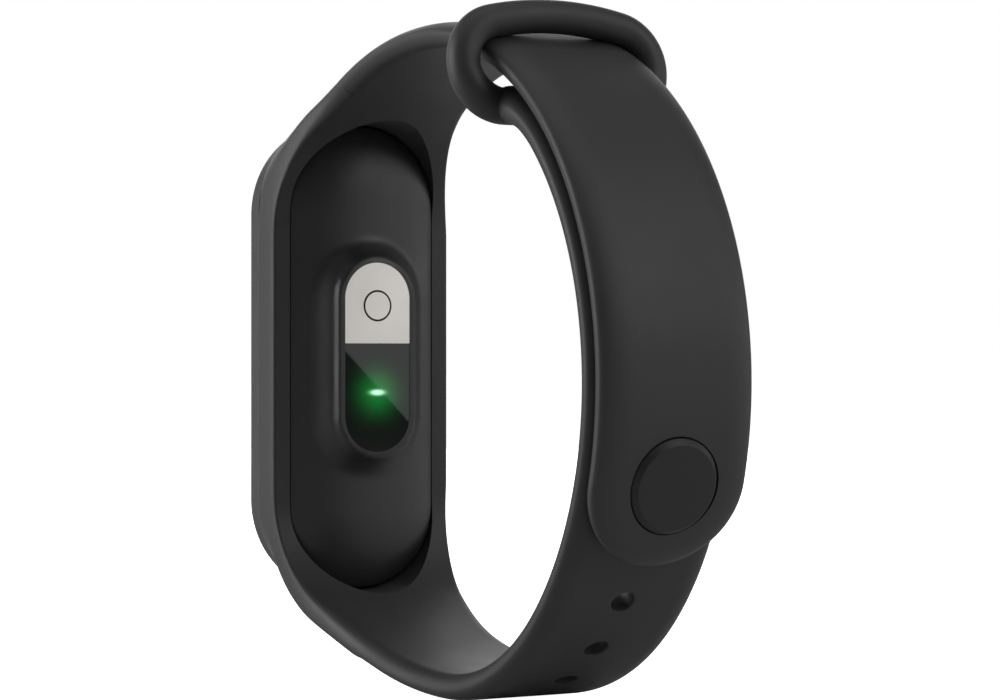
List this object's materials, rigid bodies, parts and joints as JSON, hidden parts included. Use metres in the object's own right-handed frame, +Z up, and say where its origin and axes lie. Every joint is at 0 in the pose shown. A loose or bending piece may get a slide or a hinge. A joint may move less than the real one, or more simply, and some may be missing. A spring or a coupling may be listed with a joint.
{
  "type": "fitness tracker band",
  "caption": "Closed wrist band: a capsule-shaped tracker with a heart-rate sensor, pressed into a soft strap that shuts with a stud and keeper loop.",
  "frame": {"origin": "middle of the wrist opening, halfway across the strap's width", "axes": "+Y along the wrist, +Z up the tracker, +X from the tracker to the clasp; the display faces -X"},
  "size_m": [0.0664, 0.023, 0.0631],
  "materials": {
    "silicone": "soft matte moulded silicone, very fine grain",
    "stud_plastic": "satin moulded plastic",
    "cover_glass": "black-backed glossy glass",
    "adhesive": "dull adhesive tape",
    "case_plastic": "satin moulded plastic",
    "seal_rubber": "matte seal rubber",
    "display": "glossy display panel",
    "flex_film": "glossy polyimide film",
    "gold_contact": "gold-plated contact",
    "circuit_board": "solder-masked board",
    "chip_resin": "matte epoxy",
    "plated_steel": "plated sheet steel",
    "battery_foil": "satin pouch foil",
    "tape": "matte foam tape",
    "rotor_metal": "dense sintered metal",
    "led_resin": "clear green resin",
    "black_foam": "black foam",
    "sensor_glass": "glossy black glass",
    "sensor_silver": "fine satin silver"
  },
  "bodies": {
    "band": {"pocket_frame": "silicone", "upper_strap": "silicone", "lower_strap": "silicone", "keeper_loop": "silicone"},
    "tail": {"strap_tail": "silicone", "stud_cap": "stud_plastic", "stud_post": "stud_plastic"},
    "pod": {"cover_glass": "cover_glass", "glass_adhesive": "adhesive", "front_frame": "case_plastic", "seal_ring": "seal_rubber", "back_shell": "case_plastic", "display_panel": "display", "display_flex": "flex_film", "touch_pad": "gold_contact", "main_board": "circuit_board", "control_chips": "chip_resin", "shield_can": "plated_steel", "antenna": "gold_contact", "battery": "battery_foil", "battery_tape": "tape", "battery_tabs": "plated_steel", "motor_case": "plated_steel", "motor_cover": "plated_steel", "motor_shaft": "plated_steel", "sensor_board": "circuit_board", "green_leds": "led_resin", "photodiode": "chip_resin", "light_barrier": "black_foam", "window_glass": "sensor_glass", "sensor_plate": "sensor_silver", "electrode_disc": "sensor_silver", "charge_contacts": "gold_contact"},
    "rotor": {"motor_rotor": "rotor_metal"}
  },
  "joints": [
    {"name": "pod_release", "type": "slide", "parent": "band", "child": "pod", "axis": [-1, 0, 0], "range_m": [0, 0.02]},
    {"name": "tail_peel", "type": "hinge", "parent": "band", "child": "tail", "pos_m": [0.03143, 0, 0.00731], "axis": [0, -1, 0], "range_deg": [0, 25]},
    {"name": "motor_spin", "type": "hinge", "parent": "pod", "child": "rotor", "pos_m": [-0.0278, 0, -0.0172], "axis": [1, 0, 0], "continuous": true}
  ]
}
